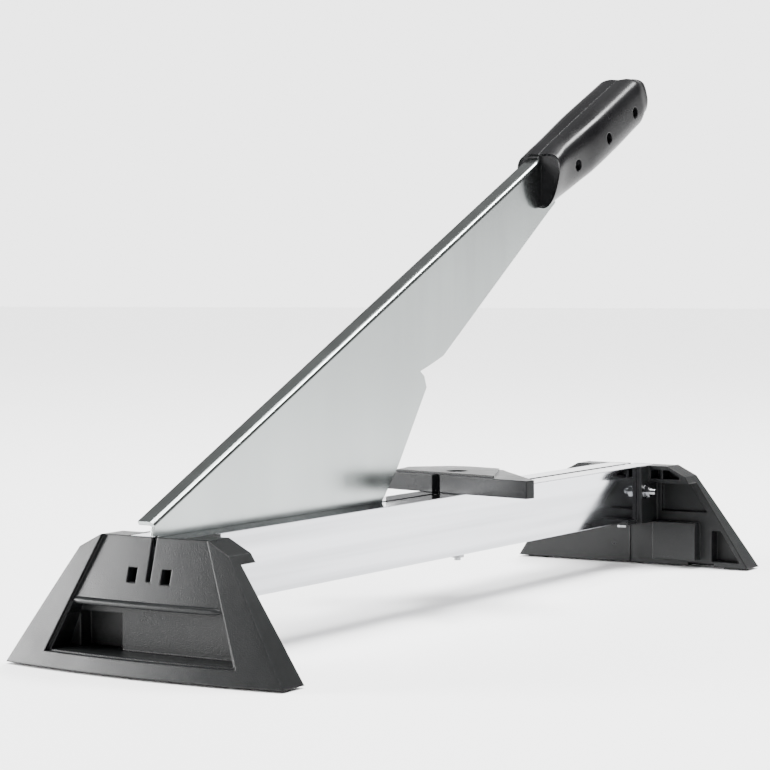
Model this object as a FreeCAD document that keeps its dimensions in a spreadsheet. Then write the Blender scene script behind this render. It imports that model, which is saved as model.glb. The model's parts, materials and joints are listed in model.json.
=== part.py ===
import FreeCAD, Part
import math
import os

# Floor-plank guillotine cutter.  Millimetres, +X along the rail away from the pivot, +Z up.
# The origin is on the ground at the middle of the footprint.

os.makedirs("parts", exist_ok=True)
doc = FreeCAD.newDocument("plank_cutter")
vec = FreeCAD.Vector

# Driving sizes.  Each one that can be set by itself is written once, here.
SIZES = [
    ("overall_length", 638.0),
    ("foot_width", 200.0),
    ("foot_height", 77.6),
    ("foot_face_rake", 15.5),
    ("foot_bulge", 8.0),
    ("foot_depth", 21.0),
    ("foot_cap_depth", 35.0),
    ("foot_cap_height", 13.0),
    ("foot_top_flat", 77.6),
    ("foot_corner_drop", 7.8),
    ("foot_corner_run", 15.1),
    ("foot_wall", 4.0),
    ("over_cut", 5.0),
    ("panel_frame", 3.0),
    ("panel_recess", 2.5),
    ("grip_low", 10.0),
    ("grip_high", 38.0),
    ("grip_half", 66.0),
    ("grip_depth", 18.0),
    ("grip_side_lean", 0.42),
    ("pocket_reach", 60.0),
    ("pocket_depth", 30.0),
    ("pocket_wall", 2.5),
    ("corner_pocket_depth", 10.0),
    ("sight_offset", 6.5),
    ("sight_width", 6.5),
    ("sight_drop", 6.5),
    ("sight_rise", 2.0),
    ("heel_slot_drop", 5.5),
    ("toe_notch_start", 50.0),
    ("toe_notch_length", 22.0),
    ("toe_notch_height", 2.5),
    ("heel_slot_width", 3.2),
    ("cell_margin", 3.0),
    ("cell_length", 8.5),
    ("cell_rib", 2.0),
    ("pad_drop", 1.5),
    ("pad_length", 16.0),
    ("pad_depth", 10.0),
    ("pad_start", 6.0),
    ("pad_inset", 14.0),
    ("rail_width", 17.0),
    ("rail_height", 41.0),
    ("rail_wall", 2.0),
    ("blade_slot", 5.0),
    ("rail_clearance", 0.2),
    ("rail_below_top", 0.1),
    ("rail_inset", 17.0),
    ("housing_length", 48.0),
    ("housing_wall", 3.8),
    ("housing_floor", 3.0),
    ("tongue_length", 64.0),
    ("pivot_inset", 42.0),
    ("pivot_below_rail", 19.5),
    ("bolt_dia", 5.0),
    ("bolt_clearance", 0.1),
    ("hex_flats", 8.0),
    ("bolt_head", 3.5),
    ("nut_height", 4.0),
    ("washer_dia", 10.0),
    ("washer_thick", 1.2),
    ("bush_dia", 10.0),
    ("running_fit", 0.05),
    ("friction_washer_dia", 19.0),
    ("blade_thick", 2.5),
    ("arm_rest_angle", 26.0),
    ("arm_length", 652.0),
    ("bend_height", 38.5),
    ("flange_width", 10.0),
    ("flange_start", -13.6),
    ("bend_radius", 3.2),
    ("cut_reach", 282.8),
    ("belly_reach", 192.0),
    ("belly_depth", 80.4),
    ("tooth_depth", 36.8),
    ("heel_radius", 20.0),
    ("bevel_width", 1.6),
    ("handle_length", 153.0),
    ("handle_half_width", 20.0),
    ("handle_top", 44.0),
    ("handle_bottom", 6.0),
    ("handle_round", 7.0),
    ("handle_pitch", 49.0),
    ("handle_screw_dia", 4.0),
    ("handle_head_dia", 8.0),
    ("handle_head_height", 3.0),
    ("handle_nut_height", 3.2),
    ("handle_seat", 9.0),
    ("handle_end_wall", 14.0),
    ("tang_rise", 7.0),
    ("tang_play", 0.3),
    ("flange_play", 0.2),
    ("fence_inset", 353.0),
    ("fence_front", 22.0),
    ("fence_long_side", 80.0),
    ("fence_short_side", 47.0),
    ("fence_rear", 38.0),
    ("fence_height", 12.0),
    ("fence_ridge", 1.3),
    ("fence_bar", 8.0),
    ("fence_notch", 7.0),
    ("fence_notch_depth", 5.0),
    ("fence_recess_dia", 15.0),
    ("fence_recess_depth", 5.0),
    ("fence_rest_angle", 10.0),
    ("fence_gap", 0.2),
    ("fence_hex_flats", 8.0),
    ("rail_screw_dia", 3.6),
    ("rail_screw_head", 8.0),
    ("rail_screw_inset", 56.0),
]

sheet = doc.addObject("Spreadsheet::Sheet", "sizes")
for row, (alias, number) in enumerate(SIZES, start=1):
    sheet.set("A%d" % row, alias)
    sheet.set("B%d" % row, str(number))
    sheet.setAlias("B%d" % row, alias)
doc.recompute()


def size(alias):
    return float(sheet.get(alias))


def tie(obj, prop, expression):
    """Bind one property of a feature to the sheet, as <<sizes>>.alias written {alias}."""
    obj.setExpression(prop, expression.replace("{", "sizes.").replace("}", ""))


def new_body(label, placement=None):
    body = doc.addObject("PartDesign::Body", label)
    body.Label = label
    if placement is not None:
        body.Placement = placement
    return body


def new_sketch(body, name, plane, offset=0.0, tilt=0.0):
    """A sketch on one of the body's own origin planes, moved along its normal by offset."""
    sketch = body.newObject("Sketcher::SketchObject", name)
    role = plane + "_Plane"
    support = [item for item in body.Origin.OriginFeatures if item.Role == role][0]
    sketch.AttachmentSupport = [(support, "")]
    sketch.MapMode = "FlatFace"
    turn = FreeCAD.Rotation(vec(1, 0, 0), tilt)
    sketch.AttachmentOffset = FreeCAD.Placement(vec(0, 0, offset), turn)
    return sketch


def draw_polygon(sketch, points):
    count = len(points)
    for index in range(count):
        start = vec(points[index][0], points[index][1], 0)
        end = vec(points[(index + 1) % count][0], points[(index + 1) % count][1], 0)
        sketch.addGeometry(Part.LineSegment(start, end), False)


def draw_circle(sketch, centre, radius):
    sketch.addGeometry(Part.Circle(vec(centre[0], centre[1], 0), vec(0, 0, 1), radius), False)


def draw_hexagon(sketch, centre, flats):
    corner = flats / math.sqrt(3.0)
    points = []
    for index in range(6):
        angle = math.radians(60.0 * index)
        points.append((centre[0] + corner * math.cos(angle), centre[1] + corner * math.sin(angle)))
    draw_polygon(sketch, points)


def pad(body, name, sketch, expression, midplane=False, reverse=False):
    feature = body.newObject("PartDesign::Pad", name)
    feature.Profile = sketch
    feature.Midplane = midplane
    feature.Reversed = reverse
    tie(feature, "Length", expression)
    sketch.Visibility = False
    doc.recompute()
    return feature


def pocket(body, name, sketch, expression, midplane=False, reverse=False):
    before = body.Shape.Volume
    feature = body.newObject("PartDesign::Pocket", name)
    feature.Profile = sketch
    feature.Midplane = midplane
    feature.Reversed = reverse
    tie(feature, "Length", expression)
    sketch.Visibility = False
    doc.recompute()
    if body.Shape.Volume > before - 0.01:
        raise RuntimeError("%s cuts nothing from %s" % (name, body.Label))
    return feature


def round_edges(body, name, base, expression, chosen):
    """Fillet the edges of base for which chosen(edge) is true."""
    names = []
    for index, edge in enumerate(base.Shape.Edges, start=1):
        if chosen(edge):
            names.append("Edge%d" % index)
    if not names:
        raise RuntimeError("%s found no edge on %s" % (name, body.Label))
    feature = body.newObject("PartDesign::Fillet", name)
    feature.Base = (base, names)
    tie(feature, "Radius", expression)
    doc.recompute()
    return feature


def rectangle(low_x, low_y, high_x, high_y):
    return [(low_x, low_y), (high_x, low_y), (high_x, high_y), (low_x, high_y)]


def mirrored(points):
    return [(-x, y) for x, y in points]


# Heights and stations that follow from the driving sizes.
half_length = size("overall_length") / 2.0
ground_lift = size("pad_drop")
rail_top = size("foot_height") - size("rail_below_top")
rail_low = rail_top - size("rail_height")
rail_inner = size("blade_slot") / 2.0
rail_outer = rail_inner + size("rail_width")
pivot_z = rail_top - size("pivot_below_rail")
rake = math.tan(math.radians(size("foot_face_rake")))
foot_half = size("foot_width") / 2.0
face_radius = (foot_half ** 2 + size("foot_bulge") ** 2) / (2.0 * size("foot_bulge"))
face_axis = face_radius - size("foot_bulge")
face_sweep = 40.0  # degrees of the cone that are cut, well past both sides of the foot
shoulder_z = size("foot_height") - size("foot_corner_drop")
shoulder_y = size("foot_top_flat") / 2.0 + size("foot_corner_run")
cap_low = size("foot_height") - size("foot_cap_height")
housing_half = rail_outer + size("housing_wall")
housing_low = rail_low - size("housing_floor")
bolt_hole = size("bolt_dia") / 2.0 + size("bolt_clearance")


def side_at(height):
    """Half width of the foot at a height below its shoulder."""
    return foot_half - (foot_half - shoulder_y) * height / shoulder_z


def front_line(low, high, set_back):
    """Outline, in x and z, of everything in front of the outer face at its middle."""
    lead = set_back - size("foot_bulge")
    clear = lead - size("foot_depth")
    return [(lead + low * rake, low), (lead + high * rake, high), (clear, high), (clear, low)]


def panel_cutter(label):
    """The shallow recess in the outer face: a shell of the face's cone inside a trapezoid."""
    low = size("grip_low") - 1.0
    high = size("foot_height") + size("over_cut")
    line = [vec(x, 0, z) for x, z in front_line(low, high, size("panel_recess"))]
    wedge = Part.Face(Part.makePolygon(line + line[:1]))
    centre = vec(face_axis, 0, 0)
    wedge.rotate(centre, vec(0, 0, 1), -face_sweep / 2.0)
    ring = wedge.revolve(centre, vec(0, 0, 1), face_sweep)
    wide = size("grip_half") + size("panel_frame")
    narrow = size("foot_top_flat") / 2.0 - size("panel_frame")
    ahead = -size("foot_bulge") - size("foot_depth")
    outline = [vec(ahead, -wide, low), vec(ahead, wide, low)]
    outline += [vec(ahead, narrow, high), vec(ahead, -narrow, high)]
    trapezoid = Part.Face(Part.makePolygon(outline + outline[:1]))
    prism = trapezoid.extrude(vec(size("foot_cap_depth") - ahead, 0, 0))
    cutter = doc.addObject("Part::Feature", label)
    cutter.Shape = ring.common(prism)
    return cutter


def near_end():
    return FreeCAD.Placement(vec(-half_length, 0, ground_lift), FreeCAD.Rotation())


def far_end():
    return FreeCAD.Placement(vec(half_length, 0, ground_lift), FreeCAD.Rotation(vec(0, 0, 1), 180))


def make_foot(label, placement):
    """One moulded foot; x runs inboard from the corners of its outer face."""
    body = new_body(label + "_body")
    top = size("foot_height")
    flat = size("foot_top_flat") / 2.0
    wall = size("foot_wall")

    ahead = size("foot_bulge") + 2.0
    section = new_sketch(body, label + "_section", "YZ", offset=-ahead)
    half_section = [(foot_half, 0.0), (shoulder_y, shoulder_z), (flat, top)]
    draw_polygon(section, half_section + [(-y, z) for y, z in reversed(half_section)])
    pad(body, label + "_plate", section, "{foot_depth} + {foot_bulge} + 2")

    cap = new_sketch(body, label + "_cap_section", "YZ")
    half_cap = [(side_at(cap_low), cap_low), (shoulder_y, shoulder_z), (flat, top)]
    draw_polygon(cap, half_cap + [(-y, z) for y, z in reversed(half_cap)])
    pad(body, label + "_cap", cap, "{foot_cap_depth}")

    housing = new_sketch(body, label + "_housing_section", "YZ")
    draw_polygon(housing, rectangle(-housing_half, housing_low, housing_half, top))
    pad(body, label + "_housing", housing, "{housing_length}")

    tongue = new_sketch(body, label + "_tongue_section", "YZ")
    tongue_top = rail_low - size("rail_clearance")
    draw_polygon(tongue, rectangle(-rail_outer, housing_low, rail_outer, tongue_top))
    pad(body, label + "_tongue", tongue, "{tongue_length}")

    # Deep end of the finger grip: a box that stands out inboard on one side of the housing.
    pocket_low = size("grip_low") - size("pocket_wall") * 2.0
    pocket_top = size("grip_high") - wall
    pocket_in = housing_half + 0.5
    block = new_sketch(body, label + "_pocket_block", "YZ")
    draw_polygon(block, rectangle(pocket_in, pocket_low, size("pocket_reach"), pocket_top))
    pad(body, label + "_pocket", block, "{pocket_depth}")

    # The outer face is part of a cone: it leans inboard and bulges outwards in plan.
    over = top + size("over_cut")
    face = new_sketch(body, label + "_face_line", "XZ")
    draw_polygon(face, front_line(-size("over_cut"), over, 0.0))
    axis = Part.LineSegment(vec(face_axis, 0, 0), vec(face_axis, over, 0))
    face.addGeometry(axis, True)
    before = body.Shape.Volume
    groove = body.newObject("PartDesign::Groove", label + "_face")
    groove.Profile = face
    groove.ReferenceAxis = (face, ["Axis0"])
    groove.Midplane = True
    groove.Angle = face_sweep
    doc.recompute()
    if body.Shape.Volume > before - 0.01:
        raise RuntimeError("the face of %s cuts nothing" % label)

    # Finger grip: open towards the outside, with a wall behind it and a deep end.
    grip = new_sketch(body, label + "_grip_outline", "YZ", offset=-ahead)
    grip_top_half = size("grip_half") - (size("grip_high") - size("grip_low")) * size("grip_side_lean")
    draw_polygon(grip, [(-size("grip_half"), size("grip_low")), (size("grip_half"), size("grip_low")),
                        (grip_top_half, size("grip_high")), (-grip_top_half, size("grip_high"))])
    pocket(body, label + "_grip", grip, "{grip_depth} + {foot_bulge} + 2", reverse=True)

    deep = new_sketch(body, label + "_deep_outline", "YZ")
    deep_end = size("pocket_reach") - size("pocket_wall")
    deep_top = pocket_top - size("pocket_wall")
    draw_polygon(deep, rectangle(pocket_in + size("pocket_wall"), size("grip_low"), deep_end, deep_top))
    pocket(body, label + "_deep", deep, "{pocket_depth} - {pocket_wall}", reverse=True)

    # Open corner beside the deep end, seen from inboard.
    corner_start = size("foot_depth") - size("corner_pocket_depth")
    corner_low = wall
    corner_top = size("grip_high") - size("corner_pocket_depth")
    corner_in = size("grip_half") + wall
    corner_cut = new_sketch(body, label + "_corner_outline", "YZ", offset=corner_start)
    draw_polygon(corner_cut, [(corner_in, corner_low), (side_at(corner_low) - wall, corner_low),
                              (side_at(corner_top) - wall, corner_top), (corner_in, corner_top)])
    pocket(body, label + "_corner", corner_cut, "{foot_depth}", reverse=True)

    # A shallow notch under the inboard edge, next to one toe.
    notch_start = size("foot_depth") - size("corner_pocket_depth")
    notch = new_sketch(body, label + "_notch_outline", "YZ", offset=notch_start)
    notch_end = size("toe_notch_start") + size("toe_notch_length")
    draw_polygon(notch, rectangle(size("toe_notch_start"), -1.0, notch_end, size("toe_notch_height")))
    pocket(body, label + "_notch", notch, "{foot_depth}", reverse=True)

    # Two small core windows and the slot for the heel of the blade.
    sights = new_sketch(body, label + "_sight_outline", "YZ", offset=-ahead)
    sight_in = rail_inner + size("sight_offset")
    sight_out = sight_in + size("sight_width")
    for side in (-1.0, 1.0):
        draw_polygon(sights, rectangle(side * sight_in, pivot_z - size("sight_drop"),
                                       side * sight_out, pivot_z + size("sight_rise")))
    pocket(body, label + "_sights", sights, "{rail_inset} + {foot_bulge} + 2", reverse=True)
    slot = new_sketch(body, label + "_slot_outline", "YZ", offset=-ahead)
    slot_half = size("heel_slot_width") / 2.0
    draw_polygon(slot, rectangle(-slot_half, pivot_z - size("heel_slot_drop"), slot_half, over))
    pocket(body, label + "_slot", slot, "{rail_inset} + {foot_bulge} + 2", reverse=True)

    # Channel that takes both rails, open at the top.
    channel_start = size("rail_inset") - size("rail_clearance")
    channel = new_sketch(body, label + "_channel_outline", "YZ", offset=channel_start)
    channel_half = rail_outer + size("rail_clearance")
    draw_polygon(channel, rectangle(-channel_half, tongue_top, channel_half, over))
    pocket(body, label + "_channel", channel, "{housing_length}", reverse=True)

    # Weight-saving pockets on the inboard side, left and right of the housing.
    hollow = new_sketch(body, label + "_hollow_outline", "YZ", offset=size("foot_depth") - wall)
    inner = housing_half + wall
    outer_gap = wall + 2.0
    hollow_low = size("grip_high") + wall
    half_hollow = [(inner, hollow_low), (side_at(hollow_low) - outer_gap, hollow_low),
                   (side_at(cap_low) - outer_gap, cap_low), (inner, cap_low)]
    draw_polygon(hollow, half_hollow)
    draw_polygon(hollow, mirrored(half_hollow))
    pocket(body, label + "_hollows", hollow, "{foot_wall} + 1", reverse=True)

    cells = new_sketch(body, label + "_cell_outline", "YZ", offset=size("foot_depth") + 1.0)
    cell_low = cap_low + size("cell_margin")
    cell_top = top - size("cell_margin")
    cell_in = housing_half + size("cell_margin") / 2.0
    rib_in = cell_in + size("cell_length")
    rib_out = rib_in + size("cell_rib")
    cell_out = shoulder_y - size("cell_margin") * 1.5
    for side in (-1.0, 1.0):
        draw_polygon(cells, rectangle(side * cell_in, cell_low, side * rib_in, cell_top))
        draw_polygon(cells, [(side * rib_out, cell_low), (side * cell_out, cell_low),
                             (side * cell_out, cell_low + 1.5), (side * (flat + 1.0), cell_top),
                             (side * rib_out, cell_top)])
    pocket(body, label + "_cells", cells, "{foot_cap_depth}", reverse=True)

    # Cross hole for the bolt, and the two screw holes up into the rails.
    cross = new_sketch(body, label + "_cross_hole", "XZ")
    draw_circle(cross, (size("pivot_inset"), pivot_z), bolt_hole)
    pocket(body, label + "_cross", cross, "{foot_width}", midplane=True)
    rises = new_sketch(body, label + "_screw_holes", "XY", offset=housing_low - 1.0)
    for side in (-1.0, 1.0):
        centre = (size("rail_screw_inset"), side * (rail_inner + rail_outer) / 2.0)
        draw_circle(rises, centre, size("rail_screw_dia") / 2.0 + 0.2)
    pocket(body, label + "_screw_cut", rises, "{housing_floor} + 2", reverse=True)

    foot = doc.addObject("Part::Cut", label)
    foot.Label = label
    foot.Base = body
    foot.Tool = panel_cutter(label + "_panel")
    foot.Placement = placement
    doc.recompute()
    if foot.Shape.Volume > body.Shape.Volume - 1.0:
        raise RuntimeError("the panel of %s cuts nothing" % label)
    return foot


def make_rail(label, side):
    """One extruded tube; side is +1 for the left (+Y) rail and -1 for the right one."""
    start = -half_length + size("rail_inset")
    body = new_body(label, FreeCAD.Placement(vec(start, 0, ground_lift), FreeCAD.Rotation()))
    wall = size("rail_wall")
    section = new_sketch(body, label + "_section", "YZ")
    draw_polygon(section, rectangle(side * rail_inner, rail_low, side * rail_outer, rail_top))
    draw_polygon(section, rectangle(side * (rail_inner + wall), rail_low + wall,
                                    side * (rail_outer - wall), rail_top - wall))
    pad(body, label + "_tube", section, "{overall_length} - 2 * {rail_inset}")
    length = size("overall_length") - 2.0 * size("rail_inset")
    near_hole = size("pivot_inset") - size("rail_inset")
    cross = new_sketch(body, label + "_cross_holes", "XZ")
    for station in (near_hole, length - near_hole):
        draw_circle(cross, (station, pivot_z), bolt_hole)
    pocket(body, label + "_cross", cross, "{foot_width}", midplane=True)
    screw_station = size("rail_screw_inset") - size("rail_inset")
    holes = new_sketch(body, label + "_screw_holes", "XY", offset=rail_low - 1.0)
    for station in (screw_station, length - screw_station):
        draw_circle(holes, (station, side * (rail_inner + rail_outer) / 2.0),
                    size("rail_screw_dia") / 2.0)
    pocket(body, label + "_screw_cut", holes, "{rail_wall} + 1.5", reverse=True)
    return body


def cross_placement(end):
    """Frame of a cross bolt: x and z as in the foot, the bolt along Y."""
    station = -half_length + size("pivot_inset")
    if end > 0:
        station = -station
    return FreeCAD.Placement(vec(station, 0, pivot_z + ground_lift), FreeCAD.Rotation())


def make_cross_bolt(label, end, head_side):
    """Hex bolt through the housing; head_side gives the side of its head."""
    body = new_body(label, cross_placement(end))
    head_face = housing_half + size("washer_thick")
    head = new_sketch(body, label + "_hexagon", "XZ", offset=-head_side * head_face)
    draw_hexagon(head, (0.0, 0.0), size("hex_flats"))
    pad(body, label + "_head", head, "{bolt_head}", reverse=head_side > 0)
    shank = new_sketch(body, label + "_circle", "XZ", offset=-head_side * (head_face + 1.0))
    draw_circle(shank, (0.0, 0.0), size("bolt_dia") / 2.0)
    run = "{rail_width} * 2 + {blade_slot} + {housing_wall} * 2 + {washer_thick} * 2 + {nut_height} + 5"
    pad(body, label + "_shank", shank, run, reverse=head_side < 0)
    return body


def make_cross_nut(label, end, nut_side):
    body = new_body(label, cross_placement(end))
    face = housing_half + size("washer_thick")
    outline = new_sketch(body, label + "_outline", "XZ", offset=-nut_side * face)
    draw_hexagon(outline, (0.0, 0.0), size("hex_flats"))
    draw_circle(outline, (0.0, 0.0), size("bolt_dia") / 2.0)
    pad(body, label + "_nut", outline, "{nut_height}", reverse=nut_side > 0)
    return body


def make_rings_group(label, placement, stations, outer, inner, thick):
    """Separate rings in one node, along Y, each from its station towards +Y."""
    rings = []
    for station in stations:
        tube = Part.makeCylinder(outer, thick, vec(0, station, 0), vec(0, 1, 0))
        bore = Part.makeCylinder(inner, thick, vec(0, station, 0), vec(0, 1, 0))
        rings.append(tube.cut(bore))
    group = doc.addObject("Part::Feature", label)
    group.Label = label
    group.Shape = Part.makeCompound(rings)
    group.Placement = placement
    return group


def make_arm():
    """Bent steel arm with its blade; x runs along the bend, z away from it, pivot at 0, 0."""
    body = new_body("blade_arm", arm_placement())
    reach = size("cut_reach")
    belly = (size("belly_reach"), -size("belly_depth"))
    tooth = (reach, -size("tooth_depth"))
    radius = size("heel_radius")
    top = size("bend_height")
    start = size("flange_start")
    rest = math.radians(size("arm_rest_angle"))
    grip_end = size("arm_length") - size("handle_end_wall")
    grip_start = size("arm_length") - size("handle_length")
    tang_low = size("handle_bottom") + size("tang_rise")
    web_top = top - size("bend_radius")

    def as_at_rest(x, z):
        """Arm coordinates of a point given level and upright from the pivot in the rest pose."""
        return (x * math.cos(rest) + z * math.sin(rest), z * math.cos(rest) - x * math.sin(rest))

    # At rest the heel hangs just over the top of the foot, then steps in to clear its wall.
    over_foot = size("foot_height") - pivot_z + 0.7
    heel_back = start * math.cos(rest) - top * math.sin(rest)
    channel_end = size("rail_inset") - size("pivot_inset")
    outline = [
        (start, web_top),
        as_at_rest(heel_back, over_foot),
        as_at_rest(channel_end + 1.0, over_foot),
        as_at_rest(channel_end + 4.0, over_foot / 2.0),
        (-radius, 0.0),
        (-radius * 0.72, -radius * 0.69),
        (0.0, -radius),
        (radius, -radius * 0.75),
        belly,
        (belly[0] + (tooth[0] - belly[0]) * 0.40, belly[1] + (tooth[1] - belly[1]) * 0.33),
        tooth,
        (reach + 1.0, tooth[1] + 10.0),
        (reach - 2.0, tooth[1] + 15.5),
        (reach + 10.0, tooth[1] + 13.5),
        (reach + 29.0, tooth[1] + 10.8),
        (grip_start - 12.0, size("handle_bottom") - 7.5),
        (grip_start + 4.0, size("handle_bottom") - 5.5),
        (grip_start + 9.0, tang_low),
        (grip_end, tang_low),
        (grip_end, web_top),
    ]
    plate = new_sketch(body, "blade_arm_outline", "XZ")
    draw_polygon(plate, outline)
    pad(body, "blade_arm_plate", plate, "{blade_thick}", midplane=True)

    # The bent flange: web, bend with its outer and inner radius, and lip in one section.
    thick = size("blade_thick")
    outer = size("bend_radius")
    inner = outer - thick
    edge = -thick / 2.0
    centre = vec(edge + outer, web_top, 0)
    slant = math.sqrt(0.5)
    lip = new_sketch(body, "blade_arm_flange_section", "YZ", offset=start)
    lines = [((edge, web_top - 1.0), (edge, web_top)), ((edge + outer, top), (size("flange_width"), top)),
             ((size("flange_width"), top), (size("flange_width"), top - thick)),
             ((size("flange_width"), top - thick), (edge + outer, top - thick)),
             ((edge + thick, web_top), (edge + thick, web_top - 1.0)),
             ((edge + thick, web_top - 1.0), (edge, web_top - 1.0))]
    for first, last in lines:
        lip.addGeometry(Part.LineSegment(vec(first[0], first[1], 0), vec(last[0], last[1], 0)), False)
    for radius_here in (outer, inner):
        middle = centre + vec(-radius_here * slant, radius_here * slant, 0)
        arc = Part.Arc(centre + vec(-radius_here, 0, 0), middle, centre + vec(0, radius_here, 0))
        lip.addGeometry(arc, False)
    pad(body, "blade_arm_flange", lip, "{arm_length} - {handle_length} - {flange_start} + 2")

    hole = new_sketch(body, "blade_arm_pivot_hole", "XZ")
    draw_circle(hole, (0.0, 0.0), size("bush_dia") / 2.0 + size("running_fit"))
    for station in screw_stations():
        draw_circle(hole, (station, screw_height()), size("handle_screw_dia") / 2.0 + 0.3)
    flat = pocket(body, "blade_arm_holes", hole, "{foot_width}", midplane=True)

    # The cutting edge is ground on the right face only, from the belly to the tooth and back.
    def cutting_edge(candidate):
        box = candidate.BoundBox
        side = box.YMin > -thick / 2.0 - 0.01 and box.YMax < -thick / 2.0 + 0.01
        below = box.ZMax < tooth[1] + 0.01
        return side and below and box.XMin > radius - 0.01

    names = []
    for index, candidate in enumerate(flat.Shape.Edges, start=1):
        if cutting_edge(candidate):
            names.append("Edge%d" % index)
    bevel = body.newObject("PartDesign::Chamfer", "blade_arm_bevel")
    bevel.Base = (flat, names)
    tie(bevel, "Size", "{bevel_width}")
    doc.recompute()

    return body


def screw_height():
    return (size("handle_top") + size("handle_bottom")) / 2.0 - 3.0


def screw_stations():
    middle = size("arm_length") - size("handle_length") / 2.0 - 5.0
    return [middle + step * size("handle_pitch") for step in (-1.0, 0.0, 1.0)]


def arm_placement():
    turn = FreeCAD.Rotation(vec(0, 1, 0), -size("arm_rest_angle"))
    spot = vec(-half_length + size("pivot_inset"), 0, pivot_z + ground_lift)
    return FreeCAD.Placement(spot, turn)


def make_handle(label, side):
    """One half of the grip; side is +1 for left (+Y) and -1 for right."""
    body = new_body(label, arm_placement())
    end = size("arm_length")
    start = end - size("handle_length")
    top = size("handle_top")
    low = size("handle_bottom")
    profile = new_sketch(body, label + "_profile", "XZ")
    draw_polygon(profile, [
        (start - 21.0, low), (end - 22.0, low), (end - 7.0, low + 6.0), (end, low + 18.0),
        (end - 2.0, top - 9.0), (end - 12.0, top), (start, top), (start - 2.0, top - 6.0),
    ])
    block = pad(body, label + "_block", profile, "{handle_half_width}", reverse=side > 0)

    def outer_long(edge):
        box = edge.BoundBox
        return box.YLength < 0.01 and abs(abs(box.YMin) - size("handle_half_width")) < 0.01

    round_edges(body, label + "_round", block, "{handle_round}", outer_long)

    # Recess for the steel tang and the tail of its bent flange.
    thick = size("blade_thick")
    tang = new_sketch(body, label + "_tang_outline", "XZ")
    tang_low = low + size("tang_rise") - size("tang_play")
    grip_end = end - size("handle_end_wall") + size("tang_play")
    tang_top = size("bend_height") + size("flange_play")
    ahead = start - 30.0
    below = low - 26.0
    draw_polygon(tang, [(ahead, below), (start + 4.0 + size("tang_play"), below), (start + 9.0, tang_low),
                        (grip_end, tang_low), (grip_end, tang_top), (ahead, tang_top)])
    pocket(body, label + "_tang", tang, "{blade_thick} / 2 + 0.05", reverse=side < 0)
    if side > 0:
        lip = new_sketch(body, label + "_lip_outline", "XZ")
        lip_low = size("bend_height") - thick - size("flange_play")
        draw_polygon(lip, rectangle(ahead, lip_low, start + 2.0 + size("tang_play"), tang_top))
        pocket(body, label + "_lip", lip, "{flange_width} + {tang_play}")

    # Screw holes, with a counterbore for the head (right) or a hexagon for the nut (left).
    holes = new_sketch(body, label + "_holes", "XZ")
    for station in screw_stations():
        draw_circle(holes, (station, screw_height()), size("handle_screw_dia") / 2.0 + 0.1)
    pocket(body, label + "_hole_cut", holes, "{foot_width}", midplane=True)
    seat = size("handle_half_width") - size("handle_seat")
    seats = new_sketch(body, label + "_seats", "XZ", offset=-side * seat)
    for station in screw_stations():
        if side < 0:
            draw_circle(seats, (station, screw_height()), size("handle_head_dia") / 2.0 + 0.3)
        else:
            draw_hexagon(seats, (station, screw_height()), size("handle_head_dia") - 0.7)
    pocket(body, label + "_seat_cut", seats, "{handle_half_width}", reverse=side < 0)
    return body


def make_handle_screws():
    """Three equal screws across the handle, heads on the right."""
    seat = size("handle_half_width") - size("handle_seat")
    screws = []
    for station in screw_stations():
        base = vec(station, -seat, screw_height())
        high = size("handle_head_height")
        head = Part.makeCylinder(size("handle_head_dia") / 2.0, high, base, vec(0, -1, 0))
        drive = Part.makeCylinder(size("handle_head_dia") * 0.175, 2.2, base + vec(0, -high, 0), vec(0, 1, 0))
        shank = Part.makeCylinder(size("handle_screw_dia") / 2.0, 2.0 * seat + 2.0, base, vec(0, 1, 0))
        screws.append(head.cut(drive).fuse(shank))
    group = doc.addObject("Part::Feature", "handle_screws")
    group.Label = "handle_screws"
    group.Shape = Part.makeCompound(screws)
    group.Placement = arm_placement()
    return group


def make_handle_nuts():
    """Three equal hexagon nuts set into the left half of the handle."""
    seat = size("handle_half_width") - size("handle_seat")
    nuts = []
    for station in screw_stations():
        corner = (size("handle_head_dia") - 1.0) / math.sqrt(3.0)
        points = []
        for index in range(7):
            angle = math.radians(60.0 * index)
            points.append(vec(station + corner * math.cos(angle), seat,
                              screw_height() + corner * math.sin(angle)))
        block = Part.Face(Part.makePolygon(points)).extrude(vec(0, size("handle_nut_height"), 0))
        bore = Part.makeCylinder(size("handle_screw_dia") / 2.0, size("handle_nut_height"),
                                 vec(station, seat, screw_height()), vec(0, 1, 0))
        nuts.append(block.cut(bore))
    group = doc.addObject("Part::Feature", "handle_nuts")
    group.Label = "handle_nuts"
    group.Shape = Part.makeCompound(nuts)
    group.Placement = arm_placement()
    return group


def fence_placement():
    """Frame of the swivelling fence: its pivot on top of the rails, in its rest turn."""
    spot = vec(-half_length + size("fence_inset"), 0, rail_top + size("fence_gap") + ground_lift)
    return FreeCAD.Placement(spot, FreeCAD.Rotation(vec(0, 0, 1), -size("fence_rest_angle")))


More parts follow.
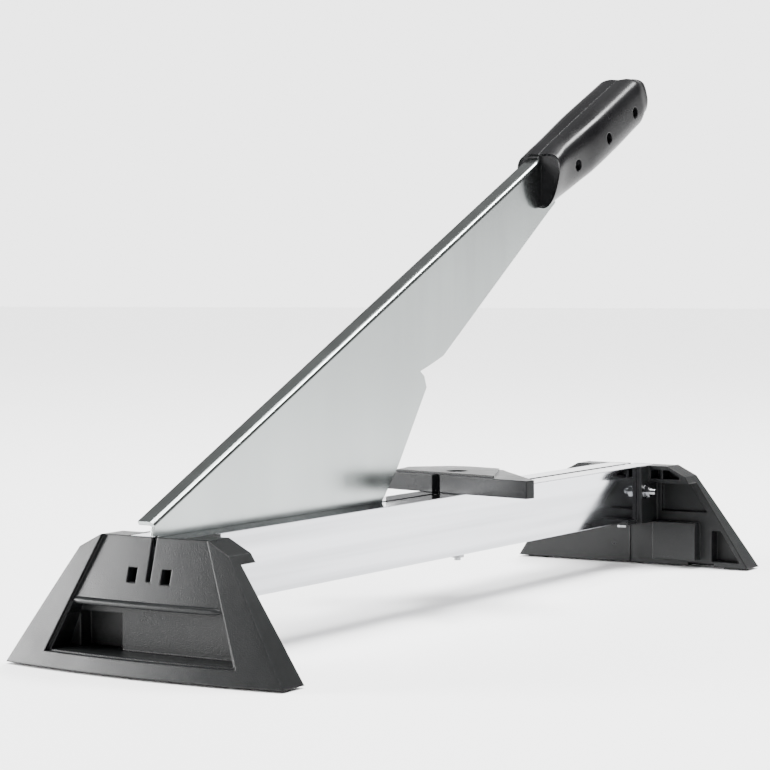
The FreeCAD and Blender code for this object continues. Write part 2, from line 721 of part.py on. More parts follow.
def make_fence():
    """Swivelling fence; its front face looks towards the pivot foot."""
    body = new_body("fence", fence_placement())
    front = -size("fence_front")
    right = -size("fence_long_side")
    left = size("fence_short_side")
    rear = size("fence_rear")
    half_notch = size("fence_notch") / 2.0
    notch_end = front + size("fence_notch_depth")
    plan = new_sketch(body, "fence_plan", "XY")
    draw_polygon(plan, [
        (front, right), (front, -half_notch), (notch_end, -half_notch), (notch_end, half_notch),
        (front, half_notch), (front, left), (front + 30.0, left + 9.0), (rear - 4.0, left - 14.0),
        (rear, 20.0), (rear, -10.0), (rear - 8.0, -20.0), (front + size("fence_bar"), right),
    ])
    pad(body, "fence_slab", plan, "{fence_height}")
    ridge = new_sketch(body, "fence_ridge_plan", "XY", offset=size("fence_height") - 0.5)
    step = front + 7.0
    draw_polygon(ridge, [(step, right + 34.0), (step, left - 4.0), (step + 22.0, left + 4.0),
                         (rear - 7.0, left - 15.0), (rear - 3.0, 18.0), (rear - 3.0, -9.0)])
    pad(body, "fence_ridge_slab", ridge, "{fence_ridge} + 0.5")
    recess = new_sketch(body, "fence_recess_circle", "XY",
                        offset=size("fence_height") - size("fence_recess_depth"))
    draw_circle(recess, (0.0, 0.0), size("fence_recess_dia") / 2.0)
    pocket(body, "fence_recess", recess, "{fence_height}", reverse=True)
    hole = new_sketch(body, "fence_hole_circle", "XY", offset=-1.0)
    draw_circle(hole, (0.0, 0.0), fence_bolt_radius() + 0.05)
    pocket(body, "fence_hole", hole, "{fence_height} + 5", reverse=True)
    return body


def fence_bolt_radius():
    return (size("blade_slot") - 2.0 * size("rail_clearance")) / 2.0


def make_fence_bolt():
    """Hex bolt that clamps the fence: head in the recess, shank down through the slot."""
    body = new_body("fence_bolt", fence_placement())
    seat = size("fence_height") - size("fence_recess_depth")
    head = new_sketch(body, "fence_bolt_hexagon", "XY", offset=seat)
    draw_hexagon(head, (0.0, 0.0), size("fence_hex_flats"))
    pad(body, "fence_bolt_head", head, "{fence_recess_depth} - 1.2")
    shank = new_sketch(body, "fence_bolt_circle", "XY", offset=seat + 1.0)
    draw_circle(shank, (0.0, 0.0), fence_bolt_radius())
    run = "{fence_height} - {fence_recess_depth} + 1 + {fence_gap} * 2 + {rail_height} + {washer_thick} + 6"
    pad(body, "fence_bolt_shank", shank, run, reverse=True)
    return body


def under_rail():
    return -size("rail_height") - 2.0 * size("fence_gap")


def make_fence_nut():
    body = new_body("fence_nut", fence_placement())
    outline = new_sketch(body, "fence_nut_outline", "XY", offset=under_rail() - size("washer_thick"))
    draw_hexagon(outline, (0.0, 0.0), size("fence_hex_flats"))
    draw_circle(outline, (0.0, 0.0), fence_bolt_radius())
    pad(body, "fence_nut_block", outline, "{washer_thick} * 3.4", reverse=True)
    return body


def make_fence_washer():
    body = new_body("fence_washer", fence_placement())
    outline = new_sketch(body, "fence_washer_outline", "XY", offset=under_rail())
    draw_circle(outline, (0.0, 0.0), size("washer_dia") / 2.0 + 1.0)
    draw_circle(outline, (0.0, 0.0), fence_bolt_radius())
    pad(body, "fence_washer_ring", outline, "{washer_thick}", reverse=True)
    return body


def make_rail_screws():
    """Four equal screws up through the tongues of the feet into the rails."""
    screws = []
    for end in (-1.0, 1.0):
        for side in (-1.0, 1.0):
            base = vec(end * (half_length - size("rail_screw_inset")),
                       side * (rail_inner + rail_outer) / 2.0, housing_low + ground_lift)
            head = Part.makeCylinder(size("rail_screw_head") / 2.0, 2.2, base, vec(0, 0, -1))
            cross = Part.makeCylinder(1.3, 1.4, base + vec(0, 0, -2.2), vec(0, 0, 1))
            shank = Part.makeCylinder(size("rail_screw_dia") / 2.0, 9.0, base, vec(0, 0, 1))
            screws.append(head.cut(cross).fuse(shank))
    group = doc.addObject("Part::Feature", "rail_screws")
    group.Label = "rail_screws"
    group.Shape = Part.makeCompound(screws)
    return group


def make_pad_group(label, placement):
    """Two equal rubber pads under one foot, as separate solids."""
    half = size("pad_length") / 2.0
    reach = foot_half - size("pad_inset")
    blocks = []
    for side in (-1.0, 1.0):
        corner = vec(size("pad_start"), side * reach - half, -size("pad_drop"))
        blocks.append(Part.makeBox(size("pad_depth"), 2.0 * half, size("pad_drop"), corner))
    group = doc.addObject("Part::Feature", label)
    group.Label = label
    group.Shape = Part.makeCompound(blocks)
    group.Placement = placement
    return group


washer_faces = [housing_half, -housing_half - size("washer_thick")]
washer_outer = size("washer_dia") / 2.0
washer_inner = size("bolt_dia") / 2.0
friction_thick = (size("blade_slot") - size("blade_thick")) / 2.0 - 0.15
friction_inner = size("bush_dia") / 2.0 + 0.1

nodes = [
    make_foot("pivot_foot", near_end()),
    make_foot("far_foot", far_end()),
    make_rings_group("pivot_washers", cross_placement(-1), washer_faces, washer_outer, washer_inner,
                     size("washer_thick")),
    make_rings_group("far_washers", cross_placement(1), washer_faces, washer_outer, washer_inner,
                     size("washer_thick")),
    make_rail("left_rail", 1.0),
    make_rail("right_rail", -1.0),
    make_cross_bolt("pivot_bolt", -1, -1),
    make_cross_nut("pivot_nut", -1, 1),
    make_cross_bolt("far_bolt", 1, 1),
    make_cross_nut("far_nut", 1, -1),
    make_rings_group("pivot_bush", cross_placement(-1), [-rail_inner], size("bush_dia") / 2.0,
                     washer_inner, size("blade_slot")),
    make_rings_group("friction_washers", cross_placement(-1), [-rail_inner, rail_inner - friction_thick],
                     size("friction_washer_dia") / 2.0, friction_inner, friction_thick),
    make_rings_group("rail_spacer", cross_placement(1), [-rail_inner], size("washer_dia") / 2.0,
                     washer_inner, size("blade_slot")),
    make_arm(),
    make_handle("left_handle_half", 1.0),
    make_handle("right_handle_half", -1.0),
    make_handle_screws(),
    make_handle_nuts(),
    make_fence(),
    make_fence_bolt(),
    make_fence_nut(),
    make_fence_washer(),
    make_rail_screws(),
    make_pad_group("pivot_foot_pads", near_end()),
    make_pad_group("far_foot_pads", far_end()),
]

doc.recompute()
for item in doc.Objects:
    if "Invalid" in item.State or "Error" in item.State:
        raise RuntimeError("%s did not compute" % item.Name)
for node in nodes:
    if node.Shape.isNull() or not node.Shape.isValid():
        raise RuntimeError("%s has no valid shape" % node.Label)
for node in nodes:
    node.Shape.exportStep("parts/%s.step" % node.Label)
    box = node.Shape.BoundBox
    print("%-18s solids %d  x %8.1f %8.1f  y %7.1f %7.1f  z %7.1f %7.1f" % (
        node.Label, len(node.Shape.Solids), box.XMin, box.XMax, box.YMin, box.YMax, box.ZMin, box.ZMax))
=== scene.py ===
import json
import math

import bmesh
import bpy
from mathutils import Matrix, Vector


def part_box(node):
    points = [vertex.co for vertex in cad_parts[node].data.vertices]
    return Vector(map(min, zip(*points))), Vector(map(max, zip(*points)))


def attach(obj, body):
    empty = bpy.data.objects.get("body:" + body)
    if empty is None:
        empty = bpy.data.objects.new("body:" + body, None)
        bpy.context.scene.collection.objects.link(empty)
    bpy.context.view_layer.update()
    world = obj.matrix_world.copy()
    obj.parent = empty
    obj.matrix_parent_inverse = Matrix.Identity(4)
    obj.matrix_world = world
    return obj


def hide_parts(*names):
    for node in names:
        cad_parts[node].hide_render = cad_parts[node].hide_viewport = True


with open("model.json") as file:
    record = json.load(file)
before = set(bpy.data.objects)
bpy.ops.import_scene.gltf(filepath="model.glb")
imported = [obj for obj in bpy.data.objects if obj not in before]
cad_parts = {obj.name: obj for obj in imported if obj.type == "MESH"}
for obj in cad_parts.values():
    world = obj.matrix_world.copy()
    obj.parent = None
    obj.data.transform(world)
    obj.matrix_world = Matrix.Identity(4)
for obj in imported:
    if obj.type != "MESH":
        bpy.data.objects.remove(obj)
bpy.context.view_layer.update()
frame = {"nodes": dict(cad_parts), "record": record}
nodes = frame["nodes"]


# ---------------------------------------------------------------- materials
BEVEL_SAMPLES = 6
LINE_DEPTH = 0.00003


def new_material(name, color, metallic, roughness):
    """A Principled material; colour, metal and roughness set straight on the sockets."""
    material = bpy.data.materials.new(name)
    material.use_nodes = True
    tree = material.node_tree
    shader = tree.nodes["Principled BSDF"]
    shader.inputs["Base Color"].default_value = (*color, 1.0)
    shader.inputs["Metallic"].default_value = metallic
    shader.inputs["Roughness"].default_value = roughness
    return material, tree, shader


def noise(tree, scale, detail, stretch=(1.0, 1.0, 1.0)):
    """Object-space noise; a small number in stretch draws it out along that axis."""
    coords = tree.nodes.new("ShaderNodeTexCoord")
    mapping = tree.nodes.new("ShaderNodeMapping")
    mapping.inputs["Scale"].default_value = stretch
    texture = tree.nodes.new("ShaderNodeTexNoise")
    texture.inputs["Scale"].default_value = scale
    texture.inputs["Detail"].default_value = detail
    texture.inputs["Roughness"].default_value = 0.55
    tree.links.new(coords.outputs["Object"], mapping.inputs["Vector"])
    tree.links.new(mapping.outputs["Vector"], texture.inputs["Vector"])
    return texture.outputs["Fac"]


def ramp(tree, source, stops):
    """Map source to a colour, from (position, colour) stops in rising order."""
    node = tree.nodes.new("ShaderNodeValToRGB")
    elements = node.color_ramp.elements
    elements[0].position, elements[0].color = stops[0][0], (*stops[0][1], 1.0)
    elements[1].position, elements[1].color = stops[-1][0], (*stops[-1][1], 1.0)
    for position, color in stops[1:-1]:
        elements.new(position).color = (*color, 1.0)
    tree.links.new(source, node.inputs["Fac"])
    return node.outputs["Color"]


def spread(tree, source, low, high, to_low, to_high):
    """Map source from low..high to to_low..to_high."""
    node = tree.nodes.new("ShaderNodeMapRange")
    node.inputs["From Min"].default_value = low
    node.inputs["From Max"].default_value = high
    node.inputs["To Min"].default_value = to_low
    node.inputs["To Max"].default_value = to_high
    tree.links.new(source, node.inputs["Value"])
    return node.outputs["Result"]


def bump(tree, shader, source, strength, distance, edge_radius):
    """Fine relief on top of normals that are rounded over the edges."""
    rounded = tree.nodes.new("ShaderNodeBevel")
    rounded.samples = BEVEL_SAMPLES
    rounded.inputs["Radius"].default_value = edge_radius
    node = tree.nodes.new("ShaderNodeBump")
    node.inputs["Strength"].default_value = strength
    node.inputs["Distance"].default_value = distance
    tree.links.new(source, node.inputs["Height"])
    tree.links.new(rounded.outputs["Normal"], node.inputs["Normal"])
    tree.links.new(node.outputs["Normal"], shader.inputs["Normal"])


def moulded_plastic(name, color, roughness, grain, grain_depth, shine, edge_radius):
    """Moulded plastic: fine spark-eroded grain, faint uneven shine and a little dust."""
    material, tree, shader = new_material(name, color, 0.0, roughness)
    shader.inputs["Specular IOR Level"].default_value = shine
    cloud = noise(tree, scale=9.0, detail=5.0)
    dust = tuple(channel * 1.4 + 0.001 for channel in color)
    tree.links.new(ramp(tree, cloud, [(0.35, color), (0.75, dust)]), shader.inputs["Base Color"])
    patch = noise(tree, scale=22.0, detail=6.0)
    tree.links.new(spread(tree, patch, 0.3, 0.7, roughness - 0.07, roughness + 0.08),
                   shader.inputs["Roughness"])
    fine = noise(tree, scale=grain, detail=2.0)
    bump(tree, shader, fine, 0.4, grain_depth, edge_radius)
    return material


def drawn_metal(name, color, roughness, spread_by, stretch, band_scale, streak, edge_radius):
    """Bare or plated metal; streak is how dark the soft bands along its rolling direction get."""
    material, tree, shader = new_material(name, color, 1.0, roughness)
    bands = noise(tree, scale=band_scale, detail=2.0, stretch=stretch)
    dull = tuple(channel * streak for channel in color)
    tree.links.new(ramp(tree, bands, [(0.36, dull), (0.62, color)]), shader.inputs["Base Color"])
    lines = noise(tree, scale=60.0, detail=3.0, stretch=stretch)
    tree.links.new(spread(tree, lines, 0.25, 0.75, roughness - spread_by, roughness + spread_by),
                   shader.inputs["Roughness"])
    bump(tree, shader, lines, 0.2, LINE_DEPTH, edge_radius)
    return material


looks = {
    "foot_plastic": moulded_plastic(
        "foot_plastic_look", color=(0.0040, 0.0044, 0.0046), roughness=0.33,
        grain=1500.0, grain_depth=0.0004, shine=0.19, edge_radius=0.0013),
    "fence_plastic": moulded_plastic(
        "fence_plastic_look", color=(0.004, 0.0045, 0.005), roughness=0.30,
        grain=1200.0, grain_depth=0.0003, shine=0.11, edge_radius=0.0009),
    "handle_plastic": moulded_plastic(
        "handle_plastic_look", color=(0.003, 0.003, 0.0034), roughness=0.26,
        grain=900.0, grain_depth=0.00006, shine=0.22, edge_radius=0.0008),
    "rail_aluminium": drawn_metal(
        "rail_aluminium_look", color=(0.58, 0.59, 0.62), roughness=0.09, spread_by=0.05,
        stretch=(0.02, 1.0, 1.0), band_scale=95.0, streak=0.72, edge_radius=0.0008),
    "blade_steel": drawn_metal(
        "blade_steel_look", color=(0.36, 0.385, 0.38), roughness=0.20, spread_by=0.03,
        stretch=(1.0, 1.0, 0.12), band_scale=7.0, streak=0.84, edge_radius=0.0006),
    "zinc_steel": drawn_metal(
        "zinc_steel_look", color=(0.24, 0.245, 0.25), roughness=0.16, spread_by=0.05,
        stretch=(1.0, 1.0, 1.0), band_scale=80.0, streak=0.8, edge_radius=0.0002),
    "white_nylon": moulded_plastic(
        "white_nylon_look", color=(0.75, 0.75, 0.72), roughness=0.40,
        grain=500.0, grain_depth=0.0001, shine=0.5, edge_radius=0.0003),
    "pad_rubber": moulded_plastic(
        "pad_rubber_look", color=(0.010, 0.010, 0.010), roughness=0.75,
        grain=600.0, grain_depth=0.0004, shine=0.3, edge_radius=0.0004),
}

slots = {part["node"]: part["material_slot"] for part in frame["record"]["subparts"]}
for name, node in nodes.items():
    look = looks[slots[name]]
    for index in range(len(node.material_slots)):
        node.material_slots[index].material = look
    if not node.material_slots:
        node.data.materials.append(look)


# ---------------------------------------------------------------- meshes
def add_object(name, build, look, body=None, smooth=True):
    """Turn a bmesh into a piece with one material, riding on a body if one is given."""
    mesh = bpy.data.meshes.new(name)
    bmesh.ops.recalc_face_normals(build, faces=build.faces)
    build.to_mesh(mesh)
    build.free()
    piece = bpy.data.objects.new(name, mesh)
    bpy.context.scene.collection.objects.link(piece)
    mesh.materials.append(look)
    for face in mesh.polygons:
        face.use_smooth = smooth
    if body is not None:
        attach(piece, body)
    return piece


def bridge(build, rings):
    """Quads between each ring of vertices and the next."""
    for low, high in zip(rings[:-1], rings[1:]):
        for index in range(len(low)):
            after = (index + 1) % len(low)
            build.faces.new((low[index], low[after], high[after], high[index]))


def close_ends(build, rings):
    """A face over the first ring and one over the last."""
    build.faces.new(list(reversed(rings[0])))
    build.faces.new(rings[-1])


def circle_angles(count):
    """Angles of count points spaced evenly round a circle."""
    return [2.0 * math.pi * index / count for index in range(count)]


def corners_of(node):
    """Lowest and highest corner of a node's box."""
    low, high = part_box(node)
    return Vector(low), Vector(high)


# ---------------------------------------------------------------- the grip, as two moulded halves
# The grip is drawn in millimetres along, beside and above a line through the pivot at the slope
# that the arm has in the photo.
MILLIMETRE = 0.001
ARM_ANGLE = math.radians(26.0)
ARM_ALONG = Vector((math.cos(ARM_ANGLE), 0.0, math.sin(ARM_ANGLE)))
ARM_ABOVE = Vector((-math.sin(ARM_ANGLE), 0.0, math.cos(ARM_ANGLE)))
joints = {joint["name"]: joint for joint in frame["record"]["behaviour"]["joints"]}
pivot_point = Vector(joints["arm_hinge"]["pos_m"])

GRIP_TOP = 43.8
GRIP_LOW = 6.2
GRIP_START = 499.0
GRIP_END = 651.7
GRIP_LEAN = 0.55
CROWN_DROP = 1.6
SEAM_DEPTH = 0.9
SEAM_GAP = 0.05
FRONT_TAPER = 0.42
TAPER_REACH = 0.35
SECTIONS = 60
RING = 36
END_CROWDING = 1.6

# Powers of the rounded cross-section: 1 would be an ellipse, and towards 0 it gets square.
SQUARE_ACROSS = 0.42
SQUARE_ABOVE = 0.50

# How the top, the underside and the half width change from the front (0) to the end (1).
TOP_STOPS = [(0.0, -1.2), (0.10, -0.3), (0.5, 0.0), (0.9, -0.3), (1.0, -6.2)]
LOW_STOPS = [(0.0, 0.8), (0.2, 0.2), (0.6, 0.0), (0.86, 0.8), (0.95, 5.0), (1.0, 14.0)]
HALF_STOPS = [(0.0, 18.6), (0.12, 17.6), (0.5, 19.6), (0.88, 19.0), (0.97, 17.6), (1.0, 15.0)]

# The front face is set back inside a rim, in metres.
MOUTH_RIM = 0.0018
MOUTH_DEPTH = 0.0022

# Recesses: round for the screw heads on the right, six-sided for the nuts on the left.
SCREW_PITCH = 49.0
RECESS_FLOOR = 11.2
RECESS_OUT = 30.0
HEAD_RECESS_SIDES = 24
HEAD_RECESS_RADIUS = 4.4
NUT_RECESS_SIDES = 6
NUT_RECESS_RADIUS = 4.5
SHARP_ANGLE = math.radians(40.0)

screw_low, screw_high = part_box("handle_screws")
screw_middle = (Vector(screw_low) + Vector(screw_high)) / 2.0 - pivot_point
slope_sine = math.sin(ARM_ANGLE)
slope_cosine = math.cos(ARM_ANGLE)
screw_above = (-screw_middle.x * slope_sine + screw_middle.z * slope_cosine) * 1000.0
screw_along = (screw_middle.x * slope_cosine + screw_middle.z * slope_sine) * 1000.0
screw_stations = [screw_along + step * SCREW_PITCH for step in (-1.0, 0.0, 1.0)]


def arm_point(along, side, above):
    """A point given in millimetres along, beside and above the arm's line, in the frame."""
    offset = ARM_ALONG * along + Vector((0.0, side, 0.0)) + ARM_ABOVE * above
    return pivot_point + offset * MILLIMETRE


def smooth_between(value, stops):
    """Value of a smooth curve through (position, value) stops."""
    for (low, first), (high, last) in zip(stops[:-1], stops[1:]):
        if value <= high:
            share = max(0.0, (value - low) / (high - low))
            eased = share ** 2 * (3.0 - 2.0 * share)
            return first + (last - first) * eased
    return stops[-1][1]


def grip_section(share, side):
    """Points of one cross-section of a grip half, from the bottom seam round to the top seam."""
    top = GRIP_TOP + smooth_between(share, TOP_STOPS)
    low = GRIP_LOW + smooth_between(share, LOW_STOPS)
    half = smooth_between(share, HALF_STOPS)
    middle = (top + low) / 2.0
    tall = (top - low) / 2.0
    points = []
    for index in range(RING + 1):
        angle = -math.pi / 2.0 + math.pi * index / RING
        upper = angle > 0
        way = 1.0 if upper else -1.0
        across = abs(math.cos(angle)) ** SQUARE_ACROSS
        level = abs(math.sin(angle)) ** SQUARE_ABOVE * way
        crown = CROWN_DROP * across ** 2 if upper else 0.0
        above = middle + tall * level - crown
        if index in (0, RING):
            above -= SEAM_DEPTH * way
        # The front end narrows towards its lower edge.
        lower_part = (top - above) / (top - low)
        across *= 1.0 - FRONT_TAPER * max(0.0, 1.0 - share / TAPER_REACH) * lower_part ** 2
        front = GRIP_START - (GRIP_TOP - above) * GRIP_LEAN
        along = front + (GRIP_END - front) * share
        points.append(arm_point(along, side * (half * across + SEAM_GAP), above))
    return points


def recess_cutter(name, side):
    """Three prisms, one over each screw, reaching from the recess's floor out past the grip."""
    sides = HEAD_RECESS_SIDES if side < 0 else NUT_RECESS_SIDES
    radius = HEAD_RECESS_RADIUS if side < 0 else NUT_RECESS_RADIUS
    build = bmesh.new()
    for station in screw_stations:
        floor_ring = []
        outer_ring = []
        for angle in circle_angles(sides):
            along = station + radius * math.cos(angle)
            above = screw_above + radius * math.sin(angle)
            floor_ring.append(build.verts.new(arm_point(along, side * RECESS_FLOOR, above)))
            outer_ring.append(build.verts.new(arm_point(along, side * RECESS_OUT, above)))
        bridge(build, [floor_ring, outer_ring])
        close_ends(build, [floor_ring, outer_ring])
    return add_object(name, build, looks["handle_plastic"])


def cut_away(piece, cutter):
    """Subtract the cutter from the piece's mesh, for good, and remove the cutter."""
    boolean = piece.modifiers.new("recesses", "BOOLEAN")
    boolean.operation = "DIFFERENCE"
    boolean.solver = "EXACT"
    boolean.object = cutter
    bpy.context.view_layer.update()
    evaluated = piece.evaluated_get(bpy.context.evaluated_depsgraph_get())
    cut_mesh = bpy.data.meshes.new_from_object(evaluated)
    piece.modifiers.clear()
    old_mesh = piece.data
    piece.data = cut_mesh
    bpy.data.meshes.remove(old_mesh)
    bpy.data.objects.remove(cutter, do_unlink=True)
    for polygon in piece.data.polygons:
        polygon.use_smooth = True


def make_grip_half(name, side, replaced):
    """One half of the grip, with a set-back front face and recesses; side is +1 for left."""
    build = bmesh.new()
    rows = []
    for step in range(SECTIONS + 1):
        # Sections crowd towards the end, where the outline turns.
        share = 1.0 - (1.0 - step / SECTIONS) ** END_CROWDING
        rows.append([build.verts.new(point) for point in grip_section(share, side)])
    bridge(build, rows)
    front = build.faces.new(rows[0])
    build.faces.new(list(reversed(rows[-1])))
    bmesh.ops.recalc_face_normals(build, faces=build.faces)
    bmesh.ops.inset_region(build, faces=[front], thickness=MOUTH_RIM, depth=-MOUTH_DEPTH)
    piece = add_object(name, build, looks["handle_plastic"])
    cut_away(piece, recess_cutter(name + "_cutter", side))
    sharp = piece.modifiers.new("sharp", "EDGE_SPLIT")
    sharp.split_angle = SHARP_ANGLE
    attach(piece, "arm")
    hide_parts(replaced)


make_grip_half("grip_half_left", 1.0, "left_handle_half")
make_grip_half("grip_half_right", -1.0, "right_handle_half")


# ---------------------------------------------------------------- bolts and nuts with chamfers and threads
SIDEWAYS = Vector((0.0, 1.0, 0.0))
ALONG = Vector((1.0, 0.0, 0.0))
BOLT_RADIUS = 0.0025
BOLT_FLATS = 0.008
BOLT_HEAD = 0.0035
THREAD_PITCH = 0.0009
THREAD_LENGTH = 0.014
HEX_STEPS = 72
TURNED_STEPS = 40

# Shares of the distance across flats, of the bore and of the nut's height.
CHAMFER_SHARE = 0.05
COUNTERSINK_WIDER = 1.16
COUNTERSINK_DEPTH = 0.12

# One thread ridge: (share of the pitch, share of the radius) at its root and at its crest.
THREAD_ROOT = (0.45, 0.86)
THREAD_CREST = (0.95, 1.0)


def hex_radius(angle, flats):
    """Distance from the middle of a hexagon to its outline at an angle."""
    sector = math.radians(60.0)
    return flats / 2.0 / math.cos((angle % sector) - sector / 2.0)


def ring_of(build, centre, axis, across, radii):
    """One closed ring of vertices around an axis, at the given radii."""
    beside = axis.cross(across)
    ring = []
    for angle, radius in zip(circle_angles(len(radii)), radii):
        offset = across * math.cos(angle) + beside * math.sin(angle)
        ring.append(build.verts.new(centre + offset * radius))
    return ring


def hex_layers(build, start, axis, across, flats, height, chamfer):
    """Rings of a hexagonal block chamfered at both ends by a cone."""
    full = [hex_radius(angle, flats) for angle in circle_angles(HEX_STEPS)]
    tight = [min(radius, flats / 2.0) for radius in full]
    layers = [(0.0, tight), (chamfer, full), (height - chamfer, full), (height, tight)]
    return [ring_of(build, start + axis * level, axis, across, radii) for level, radii in layers]


def add_nut(name, node, start, axis, across, flats, height, bore, body):
    """A chamfered nut with a countersunk bore, in place of a CAD nut."""
    build = bmesh.new()
    outside = hex_layers(build, start, axis, across, flats, height, flats * CHAMFER_SHARE)
    wide = bore * COUNTERSINK_WIDER
    levels = [(height, wide), (height * (1.0 - COUNTERSINK_DEPTH), bore),
              (height * COUNTERSINK_DEPTH, bore), (0.0, wide)]
    inside = [ring_of(build, start + axis * level, axis, across, [radius] * HEX_STEPS)
              for level, radius in levels]
    bridge(build, outside + inside + [outside[0]])
    piece = add_object(name, build, looks["zinc_steel"], body, smooth=False)
    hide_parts(node)


def add_bolt(name, node, start, axis, across, flats, head, length, radius, pitch, threaded, body):
    """A hex bolt with a chamfered head and thread ridges along its last part, in place of a CAD bolt."""
    build = bmesh.new()
    rings = hex_layers(build, start, axis, across, flats, head, flats * CHAMFER_SHARE)
    close_ends(build, rings)
    bridge(build, rings)
    levels = [(head * 0.5, radius), (length - threaded, radius)]
    for index in range(int(threaded / pitch) - 1):
        base = length - threaded + index * pitch
        levels += [(base + pitch * part, radius * size) for part, size in (THREAD_ROOT, THREAD_CREST)]
    levels += [(length - pitch * 0.4, radius * 0.9), (length, radius * 0.8)]
    turned = [ring_of(build, start + axis * level, axis, across, [size] * TURNED_STEPS)
              for level, size in levels]
    bridge(build, turned)
    close_ends(build, turned)
    piece = add_object(name, build, looks["zinc_steel"], body, smooth=False)
    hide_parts(node)


for end in ("pivot", "far"):
    low, high = corners_of(end + "_bolt")
    middle = (low + high) / 2.0
    # The head is on the shorter side; the thread stands out further on the other one.
    head_left = abs(high.y) < abs(low.y)
    head_end = Vector((middle.x, high.y if head_left else low.y, middle.z))
    way = SIDEWAYS * (-1.0 if head_left else 1.0)
    add_bolt(end + "_bolt_threaded", end + "_bolt", head_end, way, ALONG, BOLT_FLATS, BOLT_HEAD,
             high.y - low.y, BOLT_RADIUS, THREAD_PITCH, THREAD_LENGTH, "base")
    low, high = corners_of(end + "_nut")
    middle = (low + high) / 2.0
    add_nut(end + "_nut_chamfered", end + "_nut", Vector((middle.x, low.y, middle.z)), SIDEWAYS, ALONG,
            BOLT_FLATS, high.y - low.y, BOLT_RADIUS, "base")


# ---------------------------------------------------------------- mouldings added to the feet
# The outer face is part of a cone: bulged over half the foot's width, and sloped.
FOOT_HALF = 0.100
FACE_BULGE = 0.008
FACE_RADIUS = (FOOT_HALF ** 2 + FACE_BULGE ** 2) / (2.0 * FACE_BULGE)
FACE_SLOPE = math.tan(math.radians(15.5))
PANEL_RECESS = 0.0025

LIP_REACH = 0.0560
LIP_HEIGHT = 0.0392
LIP_RADIUS = 0.0021
LIP_INSET = 0.0004
LIP_STEPS = 36
LIP_AROUND = 14
# Towards each end the lip gets thinner: LIP_RUN_OUT is how steeply, and LIP_END is the share
# of its radius that is left at the very end.
LIP_RUN_OUT = 9.0
LIP_END = 0.15

SEAM_FACE = 0.021
SEAM_LEVELS = (0.0004, 0.0010, 0.0160, 0.0290, 0.0315)
SEAM_WIDTH = 0.0007
SEAM_END_WIDTH = 0.0004
SEAM_AROUND = 10


def face_inset(aside, height, recess):
    """How far inboard of the toe line the outer face lies at a place beside the middle."""
    radius = FACE_RADIUS - height * FACE_SLOPE - recess
    return FACE_RADIUS - FACE_BULGE - math.sqrt(radius ** 2 - aside ** 2)


def toe_and_ground(node, sign):
    """Where a foot's toe line lies along X, and the height of its underside."""
    low, high = corners_of(node)
    return (low.x + FACE_BULGE if sign < 0 else high.x - FACE_BULGE), low.z


def add_bead(name, build, rows):
    """Close the rows into a bead of foot plastic that rides on the base."""
    bridge(build, rows)
    close_ends(build, rows)
    add_object(name, build, looks["foot_plastic"], "base")


def add_lip(name, node, sign):
    """A half-round bead along the top edge of the grip, following the curved face."""
    toe, ground = toe_and_ground(node, sign)
    build = bmesh.new()
    rows = []
    for step in range(LIP_STEPS + 1):
        aside = -LIP_REACH + 2.0 * LIP_REACH * step / LIP_STEPS
        closing = min(1.0, (1.0 - abs(aside) / LIP_REACH) * LIP_RUN_OUT + LIP_END)
        row = []
        for angle in circle_angles(LIP_AROUND):
            height = LIP_HEIGHT + LIP_RADIUS * closing * math.sin(angle)
            face = face_inset(aside, height, PANEL_RECESS)
            inset = face + LIP_INSET + LIP_RADIUS * closing * math.cos(angle)
            row.append(build.verts.new(Vector((toe - sign * inset, aside, ground + height))))
        rows.append(row)
    add_bead(name, build, rows)


def add_seam(name, node, sign):
    """A fine upright bead in the middle of the foot's inboard side, under the rails."""
    toe, ground = toe_and_ground(node, sign)
    face = toe - sign * SEAM_FACE
    build = bmesh.new()
    rows = []
    for level in SEAM_LEVELS:
        width = SEAM_END_WIDTH if level in (SEAM_LEVELS[0], SEAM_LEVELS[-1]) else SEAM_WIDTH
        rows.append([build.verts.new(Vector((face - sign * width * math.cos(angle),
                                             width * math.sin(angle), ground + level)))
                     for angle in circle_angles(SEAM_AROUND)])
    add_bead(name, build, rows)


add_seam("pivot_foot_seam", "pivot_foot", -1.0)
add_seam("far_foot_seam", "far_foot", 1.0)
add_lip("pivot_foot_lip", "pivot_foot", -1.0)
add_lip("far_foot_lip", "far_foot", 1.0)


# ---------------------------------------------------------------- stage
FLOOR_HALF = 12.0
floor_mesh = bpy.data.meshes.new("floor")
build = bmesh.new()
bmesh.ops.create_grid(build, x_segments=1, y_segments=1, size=FLOOR_HALF)
build.to_mesh(floor_mesh)
build.free()
floor = bpy.data.objects.new("floor", floor_mesh)
bpy.context.scene.collection.objects.link(floor)
floor_look, _, _ = new_material("floor_look", (0.93, 0.93, 0.93), 0.0, 0.6)
floor.data.materials.append(floor_look)


# ---------------------------------------------------------------- light
def sky_ramp(tree, source, stops):
    """A grey ramp over the height of the sky, from (height, brightness) stops."""
    return ramp(tree, source, [(height, (bright, bright, bright)) for height, bright in stops])


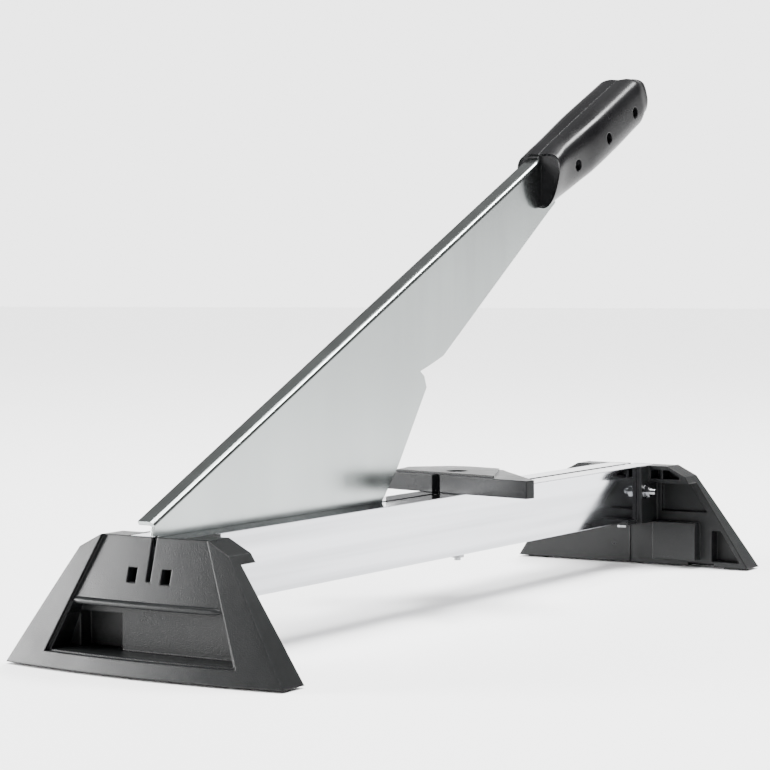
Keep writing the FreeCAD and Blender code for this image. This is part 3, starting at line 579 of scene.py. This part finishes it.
# A studio sky: bright at the horizon, dark overhead, and darker sooner on the -Y side.
SKY_STRENGTH = 3.6
SKY_BEHIND = [(0.0, 1.0), (0.14, 1.0), (0.36, 0.10), (1.0, 0.06)]
SKY_BEFORE = [(0.0, 0.95), (0.01, 0.8), (0.05, 0.26), (0.11, 0.05), (1.0, 0.05)]
world = bpy.data.worlds.new("studio")
bpy.context.scene.world = world
world.use_nodes = True
sky = world.node_tree
toward = sky.nodes.new("ShaderNodeTexCoord")
split = sky.nodes.new("ShaderNodeSeparateXYZ")
sky.links.new(toward.outputs["Generated"], split.inputs["Vector"])
behind = sky_ramp(sky, split.outputs["Z"], SKY_BEHIND)
before = sky_ramp(sky, split.outputs["Z"], SKY_BEFORE)
side_share = spread(sky, split.outputs["Y"], -0.35, 0.15, 0.0, 1.0)
blend = sky.nodes.new("ShaderNodeMix")
blend.data_type = "RGBA"
# The mix node's sockets share their names, so they are taken by number: factor, A, B, result.
sky.links.new(side_share, blend.inputs[0])
sky.links.new(before, blend.inputs[6])
sky.links.new(behind, blend.inputs[7])
# The sky is dimmer towards -X, so that faces turned that way keep their shade.
shade = sky.nodes.new("ShaderNodeVectorMath")
shade.operation = "SCALE"
sky.links.new(blend.outputs[2], shade.inputs[0])
sky.links.new(spread(sky, split.outputs["X"], -0.6, 0.25, 0.45, 1.0), shade.inputs["Scale"])
sky.links.new(shade.outputs["Vector"], sky.nodes["Background"].inputs["Color"])
sky.nodes["Background"].inputs["Strength"].default_value = SKY_STRENGTH


def add_lamp(name, kind, energy):
    """A lamp of one kind, linked to the scene, and its data."""
    data = bpy.data.lights.new(name, kind)
    data.energy = energy
    lamp = bpy.data.objects.new(name, data)
    bpy.context.scene.collection.objects.link(lamp)
    return lamp, data


def area_light(name, spot, aim, width, height, power):
    """A rectangular lamp at a spot, turned towards an aim."""
    lamp, data = add_lamp(name, "AREA", power)
    data.shape = "RECTANGLE"
    data.size = width
    data.size_y = height
    lamp.location = spot
    lamp.rotation_euler = (Vector(aim) - Vector(spot)).to_track_quat("-Z", "Y").to_euler()


area_light("edge_light", spot=(1.00, -0.85, 2.10), aim=(0.1, 0.0, 0.1),
           width=1.1, height=0.5, power=100.0)
area_light("left_light", spot=(-2.20, 3.60, 0.95), aim=(-0.3, 0.0, 0.05),
           width=1.9, height=1.5, power=520.0)
sun, sun_data = add_lamp("floor_light", "SUN", 10.5)
sun_data.angle = math.radians(50.0)
sun.rotation_euler = (math.radians(6.0), math.radians(-6.0), 0.0)


# ---------------------------------------------------------------- camera
# Place, direction and lens are the ones at which the feet and the rail fall as in the photo.
SENSOR_WIDTH = 36.0
LENS_PER_SENSOR = 3.0958
CAMERA_SPOT = Vector((-1.37725, -0.84662, 0.2295))
LOOK_ALONG = Vector((0.840766, 0.539366, -0.046873))
ROUGHLY_UP = Vector((0.043009, 0.019763, 0.998879))
camera_data = bpy.data.cameras.new("camera")
camera_data.sensor_width = SENSOR_WIDTH
camera_data.lens = SENSOR_WIDTH * LENS_PER_SENSOR
camera = bpy.data.objects.new("camera", camera_data)
bpy.context.scene.collection.objects.link(camera)
look_along = LOOK_ALONG.normalized()
camera_right = look_along.cross(ROUGHLY_UP).normalized()
camera_up = camera_right.cross(look_along).normalized()
turn = Matrix((camera_right, camera_up, -look_along)).transposed()
camera.matrix_world = Matrix.Translation(CAMERA_SPOT) @ turn.to_4x4()
bpy.context.scene.camera = camera
